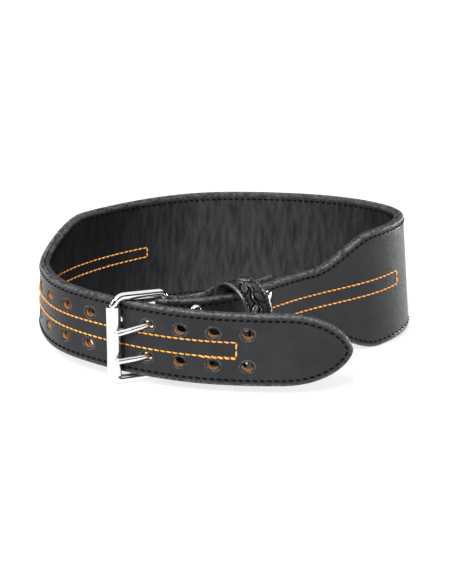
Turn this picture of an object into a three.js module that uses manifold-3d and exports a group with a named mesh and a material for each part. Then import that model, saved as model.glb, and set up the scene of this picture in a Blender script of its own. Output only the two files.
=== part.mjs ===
// Weightlifting belt, buckled into its loop and resting on a flat floor.
// Millimetres, +Z up, +X to the right of the buckle, +Y from the buckle to the back panel.
// The belt is laid out level in its own axes first, then turned as one body onto its three resting points.
import * as THREE from 'three';
import { mergeVertices } from 'three/addons/utils/BufferGeometryUtils.js';
import Module from 'manifold-3d';

// Loop, seen from above
const LOOP_WIDTH = 340;
const LOOP_DEPTH = 244;
const LEAN = 8; // degrees that the leather's top edge tips inward where it leans most
const LIFT = 2; // how far the strap's middle rides above the panel's, at most

// Leather
const PANEL_WIDTH = 101;
const STRAP_WIDTH = 57;
const OUTER_LEATHER = 4;
const INNER_LEATHER = 3.9;
const LAYER_GAP = 0.4;
const EDGE_BEVEL = 1;
const TIP_LENGTH = 55;
const TIP_FULLNESS = 2.2; // the higher, the sooner the tip reaches the strap's width
const TIP_NOSE = 0.62; // the lower, the blunter the point
const TAPER_LENGTH = 64;
const TONGUE_LENGTH = 307; // tip to the start of the left taper
const ARM_LENGTH = 139; // heel bar to the start of the right taper
const STATION_STEP = 11;

// Holes in the tongue
const HOLE_COLUMNS = 9;
const HOLE_PITCH = 26;
const HOLE_ROWS = 25.4;
const HOLE_LENGTH = 9;
const HOLE_HEIGHT = 7.1;
const BUCKLED_COLUMN = 3; // columns between the tip and the one that the prongs use

// Buckle
const WIRE = 6.6;
const FRAME_LENGTH = 42; // heel bar to roller bar, between their middles
const FRAME_CLEARANCE = 1.2;
const HEEL_CORNER = 5;
const ROLLER_CORNER_UPPER = 9;
const ROLLER_CORNER_LOWER = 5;
const ROLLER_DIAMETER = 11.4;
const ROLLER_WALL = 1;
const ROLLER_LENGTH = 55;
const ROLLER_DROP = 1.7; // how far the loose roller has slid down its bar
const ROLLER_CLEARANCE = 0.4;
const PRONG_BASE = 3.8;
const PRONG_TIP = 4.8;
const PRONG_CLEARANCE = 0.5;
const PRONG_DROP_UPPER = 6; // how far each prong sags from its hole to the roller
const PRONG_DROP_LOWER = 2.5;
const SLOT_CLEARANCE = 0.6;
const HOLE_SLACK = 1; // between a prong's hook and its hole

// Buckle end of the arm, measured back from the heel bar
const FLAP_LENGTH = 103.5;
const FLAP_GAP = 0.5; // between the flap and the arm where the rivets draw them together
const FLAP_BULGE = 13;
const FLAP_RAMP = 20; // length over which the flap swings out, past the first rivets
const FLAP_RISE = 3; // how far the flap climbs above the arm past the first rivets
const RISE_START = 10;
const RISE_LENGTH = 25;
const LINING_SETBACK = 14;
const BUCKLE_RIVET = 24.5;
const KEEPER_RIVET = 88;
const RIVET_HEAD = 9.3;
const RIVET_LAND = 6; // flat leather on each side of a rivet's middle
const RIVET_DOME = 2.6;
const RIVET_SHANK = 3.2;
const RIVET_CLEARANCE = 0.4;
const RIVET_SEAT = 0.6; // gap under a rivet's flat head, where the leather is curved
const RIVET_INSET = 8.5; // rivet middle to the strap's edge

// Keeper loop
const KEEPER_START = 44;
const KEEPER_BAND = 23.5;
const KEEPER_LEATHER = 3.2;
const KEEPER_CLEARANCE = 1.7; // in the middle of the band, where the arm is curved under it
const KEEPER_DEPTH = 37;
const KEEPER_SKEW = 0.265; // how far the loop's front is pushed along the arm, for each unit of its depth

// Path of the whole belt from the tongue's tip round to the heel bar.
// right and back are shares of LOOP_WIDTH and LOOP_DEPTH, lean of LEAN and lift of LIFT.
const PATH = [
  { right: 0.284, back: -0.481, lean: 0.51, lift: 0 },
  { right: 0.128, back: -0.493, lean: 0.54, lift: 0 },
  { right: -0.025, back: -0.483, lean: 0.78, lift: 0 },
  { right: -0.167, back: -0.434, lean: 0.95, lift: 0.5 },
  { right: -0.295, back: -0.344, lean: 0.96, lift: 1 },
  { right: -0.393, back: -0.232, lean: 0.82, lift: 0.4 },
  { right: -0.439, back: -0.096, lean: 0.45, lift: 0 },
  { right: -0.464, back: 0.064, lean: 0.31, lift: 0 },
  { right: -0.378, back: 0.239, lean: 0.33, lift: 0 },
  { right: -0.245, back: 0.386, lean: 0.44, lift: 0 },
  { right: -0.08, back: 0.497, lean: 0.46, lift: 0 },
  { right: 0.121, back: 0.49, lean: 0.42, lift: 0 },
  { right: 0.331, back: 0.44, lean: 0.45, lift: 0 },
  { right: 0.503, back: 0.26, lean: 0.64, lift: 0 },
  { right: 0.381, back: 0.006, lean: 0.95, lift: 0 },
  { right: 0.169, back: -0.122, lean: 0.97, lift: 0 },
  { right: 0.011, back: -0.367, lean: 0.95, lift: 0 },
  { right: -0.141, back: -0.366, lean: 0.94, lift: 0 },
];

// Keeper loop seen along the arm, anticlockwise from the middle of its back.
// out is a share of KEEPER_DEPTH in front of the back run, up of half the strap's width.
const KEEPER_LOOP = [
  { out: 0, up: 0.7 },
  { out: 0, up: 1.18 },
  { out: 0.26, up: 1.42 },
  { out: 0.57, up: 1.33 },
  { out: 0.83, up: 1.03 },
  { out: 0.93, up: 0.45 },
  { out: 0.93, up: -0.3 },
  { out: 0.85, up: -0.95 },
  { out: 0.58, up: -1.3 },
  { out: 0.2, up: -1.35 },
  { out: 0, up: -1.18 },
  { out: 0, up: -0.7 },
];

const HALF_STRAP = STRAP_WIDTH / 2;
const STACK = OUTER_LEATHER + LAYER_GAP + INNER_LEATHER;
const OUTER_MIDDLE = (STACK - OUTER_LEATHER) / 2;
const INNER_MIDDLE = (INNER_LEATHER - STACK) / 2;
const SKIN_GAP = 0.3; // between pieces that touch
const WRAP_RADIUS = WIRE / 2 + SKIN_GAP + OUTER_LEATHER / 2;
const FULL_TURN = 2 * Math.PI;

const smooth = (x) => THREE.MathUtils.smoothstep(x, 0, 1);
const at = (origin, ...steps) => steps.reduce((p, [axis, d]) => p.addScaledVector(axis, d), origin.clone());
const distance = (p, origin, axis) => p.clone().sub(origin).dot(axis);

// Uniform cubic B-spline through rows of equal columns. A closed one joins its last row to its first.
function splineRow(rows, t, closed = false) {
  const n = rows.length;
  const span = closed ? n : n - 1;
  const k = Math.min(Math.floor(t), span - 1);
  const f = t - k;
  const row = (i) => {
    if (closed) return rows[(i + n) % n];
    if (i < 0) return rows[0].map((v, c) => 2 * v - rows[1][c]);
    if (i >= n) return rows[n - 1].map((v, c) => 2 * v - rows[n - 2][c]);
    return rows[i];
  };
  const weights = [(1 - f) ** 3, 3 * f ** 3 - 6 * f ** 2 + 4, -3 * f ** 3 + 3 * f ** 2 + 3 * f + 1, f ** 3];
  return rows[0].map((_, c) => weights.reduce((sum, w, i) => sum + (w / 6) * row(k - 1 + i)[c], 0));
}

// The belt's path as a list of points with their distance from the tongue's tip
const TRACK_STEPS = 1200;
const pathRows = PATH.map((r) => [r.right * LOOP_WIDTH, r.back * LOOP_DEPTH, r.lean * LEAN, r.lift * LIFT]);
const track = [];
for (let i = 0; i <= TRACK_STEPS; i += 1) {
  const [x, y, lean, lift] = splineRow(pathRows, (i / TRACK_STEPS) * (PATH.length - 1));
  const last = track[i - 1];
  track.push({ x, y, lean, lift, s: last ? last.s + Math.hypot(x - last.x, y - last.y) : 0 });
}
const BELT_LENGTH = track[TRACK_STEPS].s;
const LEFT_TAPER = TONGUE_LENGTH;
const RIGHT_TAPER = BELT_LENGTH - ARM_LENGTH;

// Axes of the belt at a distance s from the tip: along the belt, up its width and out of its outer face
function station(s) {
  let i = 1;
  while (i < TRACK_STEPS && track[i].s < s) i += 1;
  const [a, b] = [track[i - 1], track[i]];
  const f = (s - a.s) / (b.s - a.s);
  const mix = (key) => THREE.MathUtils.lerp(a[key], b[key], f);
  const before = track[Math.max(i - 2, 0)];
  const after = track[Math.min(i + 1, TRACK_STEPS)];
  const along = new THREE.Vector3(after.x - before.x, after.y - before.y, 0).normalize();
  const lean = THREE.MathUtils.degToRad(mix('lean'));
  const level = new THREE.Vector3(-along.y, along.x, 0);
  const vertical = new THREE.Vector3(0, 0, 1);
  const up = at(vertical.clone().multiplyScalar(Math.cos(lean)), [level, -Math.sin(lean)]);
  const out = at(level.multiplyScalar(Math.cos(lean)), [vertical, Math.sin(lean)]);
  return { origin: new THREE.Vector3(mix('x'), mix('y'), PANEL_WIDTH / 2 + mix('lift')), along, up, out };
}

function halfWidth(s) {
  const taper = smooth((s - LEFT_TAPER) / TAPER_LENGTH) * smooth((RIGHT_TAPER - s) / TAPER_LENGTH);
  const tip = (1 - (1 - Math.min(s / TIP_LENGTH, 1)) ** TIP_FULLNESS) ** TIP_NOSE;
  return THREE.MathUtils.lerp(STRAP_WIDTH, PANEL_WIDTH, taper) / 2 * tip;
}

// Closed solid through rings of points. A looped one joins its last ring to its first.
// A ring's second half is split the other way, so that two strips side by side have matching facets.
function loft(rings, looped = false) {
  const size = rings[0].length;
  const index = [];
  const spans = looped ? rings.length : rings.length - 1;
  for (let r = 0; r < spans; r += 1) {
    const next = (r + 1) % rings.length;
    for (let i = 0; i < size; i += 1) {
      const j = (i + 1) % size;
      const [a, b, c, d] = [r * size + i, r * size + j, next * size + j, next * size + i];
      index.push(...(i < size / 2 ? [a, b, c, a, c, d] : [a, b, d, b, c, d]));
    }
  }
  if (!looped) {
    const lastRing = (rings.length - 1) * size;
    for (let i = 1; i < size - 1; i += 1) {
      index.push(0, i + 1, i, lastRing, lastRing + i, lastRing + i + 1);
    }
  }
  const geometry = new THREE.BufferGeometry();
  const numbers = rings.flat().flatMap((p) => p.toArray());
  geometry.setAttribute('position', new THREE.Float32BufferAttribute(numbers, 3));
  geometry.setIndex(index);
  return geometry;
}

// Ring of a flat strip with bevelled edges, across the axes wide and thick
function stripRing(centre, wide, halfWide, thick, thickness) {
  const b = Math.min(EDGE_BEVEL, thickness / 3, halfWide / 2);
  const [w, t] = [halfWide, thickness / 2];
  const half = [[-w, -t + b], [-w, t - b], [-w + b, t], [w - b, t]];
  const corners = [...half, ...half.map(([x, y]) => [-x, -y])];
  return corners.map(([a, c]) => at(centre, [wide, a], [thick, c]));
}

// Round bar through centres that each have a radius and two cross axes
const ROUND_SIDES = 10;
function roundRing(centre, axisA, axisB, radius) {
  return Array.from({ length: ROUND_SIDES }, (_, i) => {
    const angle = (i / ROUND_SIDES) * FULL_TURN;
    return at(centre, [axisA, radius * Math.cos(angle)], [axisB, radius * Math.sin(angle)]);
  });
}

// Solids are joined and cut as manifolds
const wasm = await Module();
wasm.setup();
const MERGE_DISTANCE = 1e-5;
function toSolid(geometry) {
  const bare = geometry.clone();
  bare.deleteAttribute('normal');
  bare.deleteAttribute('uv');
  const merged = mergeVertices(bare, MERGE_DISTANCE);
  const mesh = new wasm.Mesh({
    numProp: 3,
    vertProperties: new Float32Array(merged.attributes.position.array),
    triVerts: new Uint32Array(merged.index.array),
  });
  return new wasm.Manifold(mesh);
}
function toGeometry(solid) {
  const mesh = solid.getMesh();
  const geometry = new THREE.BufferGeometry();
  geometry.setAttribute('position', new THREE.BufferAttribute(mesh.vertProperties, 3));
  geometry.setIndex(new THREE.BufferAttribute(mesh.triVerts, 1));
  return geometry;
}
const cut = (geometry, cutters) => (
  toGeometry(cutters.reduce((solid, c) => solid.subtract(toSolid(c)), toSolid(geometry)))
);

// A geometry made on X, Y and Z, moved onto three other axes
const onto = (geometry, origin, x, y, z) =>
  geometry.applyMatrix4(new THREE.Matrix4().makeBasis(x, y, z).setPosition(origin));

// Heel bar: the arm's outer leather turns round it
const armEnd = station(BELT_LENGTH);
const armBack = armEnd.along.clone().negate();
const heel = at(armEnd.origin, [armEnd.out, OUTER_MIDDLE - WRAP_RADIUS]);

// Outer leather
// The first ring lies a little way in from the tip, so that the blunt point is not a sliver
const TIP_STEPS = 10;
const TIP_START = 0.3;
const tipStations = Array.from({ length: TIP_STEPS }, (_, i) => (
  TIP_LENGTH * ((i + TIP_START) / TIP_STEPS) ** 2
));
const evenSteps = Math.ceil((BELT_LENGTH - TIP_LENGTH) / STATION_STEP);
const evenStations = Array.from({ length: evenSteps + 1 }, (_, i) => (
  THREE.MathUtils.lerp(TIP_LENGTH, BELT_LENGTH, i / evenSteps)
));
const liningEnd = BELT_LENGTH - LINING_SETBACK;
const innerStations = [...tipStations, ...evenStations.filter((s) => s < liningEnd), liningEnd];
const outerStations = [...innerStations, ...evenStations.filter((s) => s > liningEnd)];
function beltRings(stations, middle, thickness) {
  return stations.map((s) => {
    const { origin, up, out } = station(s);
    return stripRing(at(origin, [out, middle]), up, halfWidth(s), out, thickness);
  });
}

// Gap between the arm's inner face and the flap, at a distance t back from the heel bar
const KEEPER_END = KEEPER_START + KEEPER_BAND;
const heelGap = 2 * WRAP_RADIUS - OUTER_MIDDLE - STACK / 2 - OUTER_LEATHER / 2 - FLAP_GAP;
function flapGap(t) {
  const closing = heelGap * (1 - smooth((t - WRAP_RADIUS) / (BUCKLE_RIVET - RIVET_LAND - WRAP_RADIUS)));
  const opening = smooth((t - BUCKLE_RIVET - RIVET_LAND) / FLAP_RAMP);
  const returning = smooth((KEEPER_RIVET - RIVET_LAND - t) / (KEEPER_RIVET - RIVET_LAND - KEEPER_END));
  return FLAP_GAP + closing + FLAP_BULGE * opening * returning;
}
const flapMiddle = (t) => -(STACK / 2 + flapGap(t) + OUTER_LEATHER / 2);
const flapRise = (t) => FLAP_RISE * smooth((t - RISE_START) / RISE_LENGTH);
const SLOPE_STEP = 0.01;
const flapSlope = (t) => (flapMiddle(t + SLOPE_STEP) - flapMiddle(t - SLOPE_STEP)) / (2 * SLOPE_STEP);

const WRAP_STEPS = 10;
const wrapRings = Array.from({ length: WRAP_STEPS - 1 }, (_, i) => {
  const angle = ((i + 1) / WRAP_STEPS) * Math.PI;
  const radial = at(new THREE.Vector3(), [armEnd.out, Math.cos(angle)], [armEnd.along, Math.sin(angle)]);
  return stripRing(at(heel, [radial, WRAP_RADIUS]), armEnd.up, HALF_STRAP, radial, OUTER_LEATHER);
});
const flapSteps = Math.ceil((2 * FLAP_LENGTH) / STATION_STEP);
const flapRings = Array.from({ length: flapSteps + 1 }, (_, i) => {
  const t = (FLAP_LENGTH * i) / flapSteps;
  const { origin, along, up, out } = station(BELT_LENGTH - t);
  const centre = at(origin, [out, flapMiddle(t)], [up, flapRise(t)]);
  const face = at(out.clone().negate(), [along, -flapSlope(t)]).normalize();
  return stripRing(centre, up, HALF_STRAP, face, OUTER_LEATHER);
});
const outerRings = beltRings(outerStations, OUTER_MIDDLE, OUTER_LEATHER);
const outerStrip = loft([...outerRings, ...wrapRings, ...flapRings]);
const innerStrip = loft(beltRings(innerStations, INNER_MIDDLE, INNER_LEATHER));

// Roller bar: the frame swings on the heel bar until the roller lies on the tongue's outer face
const rollerRadius = ROLLER_DIAMETER / 2;
const tongueTrack = Array.from({ length: TONGUE_LENGTH }, (_, s) => station(s));
function faceDistance(p) {
  const side = ({ origin, along }) => Math.abs(distance(p, origin, along));
  const nearest = tongueTrack.reduce((best, one) => (side(one) < side(best) ? one : best));
  return distance(p, nearest.origin, nearest.out) - STACK / 2;
}
const between = (a, b, angle) => at(new THREE.Vector3(), [a, Math.cos(angle)], [b, Math.sin(angle)]);
const frameAxis = (swing) => between(armEnd.along, armEnd.out, swing);
function rollerRoom(swing) {
  const middle = at(heel, [frameAxis(swing), FRAME_LENGTH]);
  const heights = [-ROLLER_LENGTH / 2, 0, ROLLER_LENGTH / 2].map((h) => h - ROLLER_DROP);
  const nearest = Math.min(...heights.map((h) => faceDistance(at(middle, [armEnd.up, h]))));
  return nearest - rollerRadius - ROLLER_CLEARANCE;
}
// radians between which the swing is halved until it is exact
const SWING_HALVINGS = 30;
let [swingIn, swingOut] = [-0.5, 1.3];
for (let i = 0; i < SWING_HALVINGS; i += 1) {
  const swing = (swingIn + swingOut) / 2;
  if (rollerRoom(swing) > 0) swingOut = swing;
  else swingIn = swing;
}
const frameAlong = frameAxis(swingOut);
const frameOut = between(armEnd.out, armBack, swingOut);
const frameUp = armEnd.up;
const roller = at(heel, [frameAlong, FRAME_LENGTH]);

// Prongs: a hook round the heel bar, up through the hole and down onto the roller
const hookRadius = WIRE / 2 + PRONG_CLEARANCE + PRONG_BASE / 2;
const HOOK_START = 1.4; // radians round the heel bar from where the prong leaves it
const HOOK_STEPS = 8;
const PRONG_STEPS = 22;
const PRONG_NOSE = [0.5, 1, 1.4]; // radians from the prong's side towards its rounded end
const holeReach = hookRadius + PRONG_BASE / 2 + PRONG_TIP / 2 + HOLE_SLACK;
const aheadOfHeel = ({ origin }) => distance(origin, heel, armEnd.along);
const buckledStation = tongueTrack.findIndex((place) => aheadOfHeel(place) > holeReach);
function prongGeometry(side, extra) {
  const hole = station(buckledStation);
  const rise = (side * HOLE_ROWS) / 2 + distance(hole.origin, heel, frameUp);
  const drop = side > 0 ? PRONG_DROP_UPPER : PRONG_DROP_LOWER;
  const points = Array.from({ length: HOOK_STEPS + 1 }, (_, i) => {
    const angle = THREE.MathUtils.lerp(HOOK_START, FULL_TURN, i / HOOK_STEPS);
    const [a, b] = [hookRadius * Math.cos(angle), hookRadius * Math.sin(angle)];
    return at(heel, [armEnd.along, a], [armEnd.out, b], [frameUp, rise]);
  });
  points.push(at(hole.origin, [hole.up, (side * HOLE_ROWS) / 2]));
  points.push(at(roller, [frameOut, rollerRadius + SKIN_GAP + PRONG_TIP / 2], [frameUp, rise - drop]));
  const curve = new THREE.CatmullRomCurve3(points);
  const ringAt = (t, advance, shrink) => {
    const tangent = curve.getTangentAt(t);
    const cross = new THREE.Vector3().crossVectors(frameUp, tangent).normalize();
    const radius = THREE.MathUtils.lerp(PRONG_BASE, PRONG_TIP, smooth(2 * t - 1)) / 2 + extra;
    const centre = at(curve.getPointAt(t), [tangent, advance * radius]);
    return roundRing(centre, cross, new THREE.Vector3().crossVectors(tangent, cross), radius * shrink);
  };
  const rings = Array.from({ length: PRONG_STEPS + 1 }, (_, i) => ringAt(i / PRONG_STEPS, 0, 1));
  for (const angle of PRONG_NOSE) rings.push(ringAt(1, Math.sin(angle), Math.cos(angle)));
  return loft(rings);
}

// Chrome frame: rounded rectangle of wire round the heel bar and the roller bar
const sideBar = HALF_STRAP + FRAME_CLEARANCE + WIRE / 2;
const CORNER_STEPS = 5;
function frameGeometry() {
  const [upper, lower] = [ROLLER_CORNER_UPPER, ROLLER_CORNER_LOWER];
  const corners = [
    { x: FRAME_LENGTH - upper, y: sideBar - upper, radius: upper, start: 0 },
    { x: HEEL_CORNER, y: sideBar - HEEL_CORNER, radius: HEEL_CORNER, start: Math.PI / 2 },
    { x: HEEL_CORNER, y: HEEL_CORNER - sideBar, radius: HEEL_CORNER, start: Math.PI },
    { x: FRAME_LENGTH - lower, y: lower - sideBar, radius: lower, start: -Math.PI / 2 },
  ];
  const rings = corners.flatMap(({ x, y, radius, start }) =>
    Array.from({ length: CORNER_STEPS + 1 }, (_, i) => {
      const angle = start + ((Math.PI / 2) * i) / CORNER_STEPS;
      const radial = at(new THREE.Vector3(), [frameAlong, Math.cos(angle)], [frameUp, Math.sin(angle)]);
      const centre = at(heel, [frameAlong, x], [frameUp, y], [radial, radius]);
      return roundRing(centre, radial, frameOut, WIRE / 2);
    }),
  );
  return loft(rings, true);
}

// Turned pieces: a profile of radius and height pairs, turned about the height axis
const TURN_SIDES = 14;
function turned(profile) {
  return new THREE.LatheGeometry(profile.map(([r, h]) => new THREE.Vector2(r, h)), TURN_SIDES);
}

function rollerGeometry() {
  const [bore, half] = [rollerRadius - ROLLER_WALL, ROLLER_LENGTH / 2];
  const ends = [[bore, -half], [rollerRadius, -half], [rollerRadius, half], [bore, half]];
  const tube = turned([...ends, ends[0]]);
  return onto(tube, at(roller, [frameUp, -ROLLER_DROP]), frameAlong, frameUp, frameOut.clone().negate());
}

// Rivets through the arm and the flap: domed heads on a shank
function rivetPlace(t, side) {
  const { origin, along, up, out } = station(BELT_LENGTH - t);
  return { origin: at(origin, [up, side * (HALF_STRAP - RIVET_INSET)]), along, up, out };
}
const rivetBack = (t) => flapMiddle(t) - OUTER_LEATHER / 2 - RIVET_SEAT;
const rivetFront = STACK / 2 + RIVET_SEAT;
const DOME_PARTS = [0, 0.45, 0.8, 1]; // shares of a rivet head's radius that get a ring of points
function rivetGeometry(t, side) {
  const head = RIVET_HEAD / 2;
  const shank = RIVET_SHANK / 2;
  const dome = DOME_PARTS.map((part) => [head * part, RIVET_DOME * Math.sqrt(1 - part ** 2)]);
  const [back, front] = [rivetBack(t), rivetFront];
  const profile = [
    ...dome.map(([r, h]) => [r, back - h]),
    [shank, back],
    [shank, front],
    ...dome.reverse().map(([r, h]) => [r, front + h]),
  ];
  const { origin, along, up, out } = rivetPlace(t, side);
  return onto(turned(profile), origin, along, out, up);
}
function rivetHole(t, side) {
  const radius = RIVET_SHANK / 2 + RIVET_CLEARANCE;
  const [back, front] = [rivetBack(t) - SKIN_GAP, rivetFront + SKIN_GAP];
  const { origin, along, up, out } = rivetPlace(t, side);
  return onto(turned([[0, back], [radius, back], [radius, front], [0, front]]), origin, along, out, up);
}

// Cutters: oval holes in the tongue, and slots that let the prongs' hooks through the wrapped leather
const HOLE_SIDES = 12;
function holeCutter(column, side) {
  const { origin, along, up, out } = station(buckledStation + (column - BUCKLED_COLUMN) * HOLE_PITCH);
  const oval = new THREE.Shape();
  oval.absellipse(0, 0, HOLE_LENGTH / 2, HOLE_HEIGHT / 2, 0, FULL_TURN);
  const prism = new THREE.ExtrudeGeometry(oval, {
    depth: 2 * STACK,
    bevelEnabled: false,
    curveSegments: HOLE_SIDES / 2,
  });
  prism.translate(0, 0, -STACK);
  return onto(prism, at(origin, [up, (side * HOLE_ROWS) / 2]), along.clone().negate(), up, out);
}
function slotCutter(side) {
  const reach = 2 * (WRAP_RADIUS + OUTER_LEATHER);
  const height = PRONG_BASE + 2 * SLOT_CLEARANCE;
  const rise = (side * HOLE_ROWS) / 2 + distance(station(buckledStation).origin, heel, frameUp);
  const box = new THREE.BoxGeometry(reach, height, reach);
  return onto(box, at(heel, [frameUp, rise]), armBack, frameUp, armEnd.out);
}
const sides = [1, -1];
const columns = Array.from({ length: HOLE_COLUMNS }, (_, i) => i);
const tongueCutters = [
  ...columns.flatMap((column) => sides.map((side) => holeCutter(column, side))),
  ...sides.map((side) => prongGeometry(side, PRONG_CLEARANCE)),
];
const rivetStations = [BUCKLE_RIVET, KEEPER_RIVET];
const rivetCutters = rivetStations.flatMap((t) => sides.map((side) => rivetHole(t, side)));

// Keeper loop: a leather band round the arm, held between the arm and the flap
const KEEPER_STEPS = 36;
const TURN_STEP = 0.01; // share of a table row over which the loop's direction is taken
function keeperGeometry() {
  const back = -(STACK / 2 + KEEPER_CLEARANCE + KEEPER_LEATHER / 2);
  const rows = KEEPER_LOOP.map(({ out, up }) => [back + out * KEEPER_DEPTH, up * HALF_STRAP]);
  const loop = Array.from({ length: KEEPER_STEPS }, (_, i) => {
    const t = (i / KEEPER_STEPS) * rows.length;
    const [v, u] = splineRow(rows, t, true);
    const [nextV, nextU] = splineRow(rows, t + TURN_STEP, true);
    return { v, u, turn: Math.atan2(nextU - u, nextV - v) };
  });
  const b = Math.min(EDGE_BEVEL, KEEPER_LEATHER / 3);
  const [w, h] = [KEEPER_BAND / 2, KEEPER_LEATHER / 2];
  const inside = [[-w, h - b], [-w, b - h], [b - w, -h], [0, -h], [w - b, -h]];
  const corners = [...inside, ...inside.map(([x, y]) => [-x, -y])];
  const { origin, along, up, out } = station(BELT_LENGTH - (KEEPER_START + KEEPER_END) / 2);
  const rings = loop.map(({ v, u, turn }) =>
    corners.map(([alongBand, outward]) => {
      const depth = v - outward * Math.sin(turn);
      const height = u + outward * Math.cos(turn);
      return at(origin, [out, depth], [up, height], [along, (back - v) * KEEPER_SKEW - alongBand]);
    }),
  );
  return loft(rings, true);
}

// Materials
const leather = new THREE.MeshStandardMaterial({ color: 0x2a2b2d, roughness: 0.55, metalness: 0 });
const lining = new THREE.MeshStandardMaterial({ color: 0x1e1f21, roughness: 0.75, metalness: 0 });
const tooled = new THREE.MeshStandardMaterial({ color: 0x191a1b, roughness: 0.35, metalness: 0 });
const chrome = new THREE.MeshStandardMaterial({ color: 0xd8dade, roughness: 0.12, metalness: 1 });

const pieces = [
  ['outer_leather', cut(outerStrip, [...tongueCutters, ...rivetCutters, ...sides.map(slotCutter)]), leather],
  ['inner_leather', cut(innerStrip, [...tongueCutters, ...rivetCutters]), lining],
  ['keeper_loop', keeperGeometry(), tooled],
  ['buckle_frame', frameGeometry(), chrome],
  ['buckle_roller', rollerGeometry(), chrome],
  ['prong_upper', prongGeometry(1, 0), chrome],
  ['prong_lower', prongGeometry(-1, 0), chrome],
  ['rivet_buckle_upper', rivetGeometry(BUCKLE_RIVET, 1), chrome],
  ['rivet_buckle_lower', rivetGeometry(BUCKLE_RIVET, -1), chrome],
  ['rivet_keeper_upper', rivetGeometry(KEEPER_RIVET, 1), chrome],
  ['rivet_keeper_lower', rivetGeometry(KEEPER_RIVET, -1), chrome],
];

// Rest: the level belt is front-heavy, so it tips onto the buckle and the two front corners of the panel.
// The three lowest points, one from each, give the floor's plane; turning to it can change which are lowest.
const points = pieces.flatMap(([, geometry]) => {
  const { array } = geometry.attributes.position;
  return Array.from({ length: array.length / 3 }, (_, i) => new THREE.Vector3().fromArray(array, 3 * i));
});
const feet = [
  points.filter((p) => p.y < heel.y),
  points.filter((p) => p.y >= heel.y && p.x < heel.x),
  points.filter((p) => p.y >= heel.y && p.x >= heel.x),
];
const upright = new THREE.Vector3(0, 0, 1);
const REST_TURNS = 12;
let floor = upright;
for (let i = 0; i < REST_TURNS; i += 1) {
  const lowest = (foot) => foot.reduce((low, p) => (p.dot(floor) < low.dot(floor) ? p : low));
  const [front, left, right] = feet.map(lowest);
  floor = new THREE.Vector3().crossVectors(right.clone().sub(front), left.clone().sub(front)).normalize();
}
const turn = new THREE.Quaternion().setFromUnitVectors(floor, upright);
const box = new THREE.Box3().setFromPoints(points.map((p) => p.clone().applyQuaternion(turn)));
const middle = box.getCenter(new THREE.Vector3());

const belt = new THREE.Group();
belt.name = 'weightlifting_belt';
for (const [name, geometry, material] of pieces) {
  geometry.computeVertexNormals();
  const mesh = new THREE.Mesh(geometry, material);
  mesh.name = name;
  belt.add(mesh);
}
belt.quaternion.copy(turn);
belt.position.set(-middle.x, -middle.y, -box.min.z);

export default belt;
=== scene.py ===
"""Looks of a buckled leather lifting belt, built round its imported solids.

The belt is laid out level in its own axes, in millimetres, as its solids are.
lay() then turns it onto the floor and into metres, by where the frame has the four rivets.
"""

import math

import bmesh
import bpy
import numpy as np
from mathutils import Matrix, Vector


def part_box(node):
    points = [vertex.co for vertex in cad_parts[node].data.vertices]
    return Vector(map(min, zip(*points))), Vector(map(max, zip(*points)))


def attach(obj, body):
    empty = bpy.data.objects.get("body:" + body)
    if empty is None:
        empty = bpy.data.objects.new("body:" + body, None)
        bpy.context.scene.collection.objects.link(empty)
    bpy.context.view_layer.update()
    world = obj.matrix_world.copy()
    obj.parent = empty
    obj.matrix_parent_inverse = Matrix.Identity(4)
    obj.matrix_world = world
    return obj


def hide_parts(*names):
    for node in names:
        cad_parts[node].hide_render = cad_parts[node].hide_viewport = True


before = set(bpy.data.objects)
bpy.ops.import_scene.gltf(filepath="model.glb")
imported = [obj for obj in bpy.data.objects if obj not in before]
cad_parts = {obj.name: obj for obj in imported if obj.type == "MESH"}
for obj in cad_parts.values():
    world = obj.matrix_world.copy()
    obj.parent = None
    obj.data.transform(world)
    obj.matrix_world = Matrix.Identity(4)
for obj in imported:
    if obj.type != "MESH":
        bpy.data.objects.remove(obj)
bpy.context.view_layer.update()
MM = 0.001

# Loop seen from above, and the leather
LOOP_WIDTH = 340
LOOP_DEPTH = 244
LEAN = 8
LIFT = 2
PANEL_WIDTH = 101
STRAP_WIDTH = 57
OUTER_LEATHER = 4
INNER_LEATHER = 3.9
LAYER_GAP = 0.4
TIP_LENGTH = 55
TIP_FULLNESS = 2.2
TIP_NOSE = 0.62
TAPER_LENGTH = 64
TONGUE_LENGTH = 307
ARM_LENGTH = 139

# Holes in the tongue
HOLE_COLUMNS = 9
HOLE_PITCH = 26
HOLE_ROWS = 25.4
HOLE_LENGTH = 9
HOLE_HEIGHT = 7.1
BUCKLED_COLUMN = 3

# Buckle
WIRE = 6.6
FRAME_LENGTH = 42
FRAME_CLEARANCE = 1.2
HEEL_CORNER = 5
ROLLER_CORNER_UPPER = 9
ROLLER_CORNER_LOWER = 5
ROLLER_DIAMETER = 11.4
ROLLER_WALL = 1
ROLLER_LENGTH = 55
ROLLER_DROP = 1.7
PRONG_BASE = 3.8
PRONG_TIP = 4.8
PRONG_CLEARANCE = 0.5
HOLE_SLACK = 1
PRONG_DROPS = {1: 6, -1: 2.5}  # by side: how far each prong sags from its hole to the roller

# Buckle end of the arm
FLAP_LENGTH = 103.5
FLAP_GAP = 0.5
FLAP_BULGE = 13
FLAP_RAMP = 20
FLAP_RISE = 3
RISE_START = 10
RISE_LENGTH = 25
LINING_SETBACK = 14
BUCKLE_RIVET = 24.5
KEEPER_RIVET = 88
RIVET_HEAD = 9.3
RIVET_LAND = 6
RIVET_DOME = 2.6
RIVET_SHANK = 3.2
RIVET_SEAT = 0.6
RIVET_INSET = 8.5

# Keeper loop
KEEPER_START = 44
KEEPER_BAND = 23.5
KEEPER_LEATHER = 3.2
KEEPER_CLEARANCE = 1.7
KEEPER_DEPTH = 37
KEEPER_SKEW = 0.265

SKIN_GAP = 0.3

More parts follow.
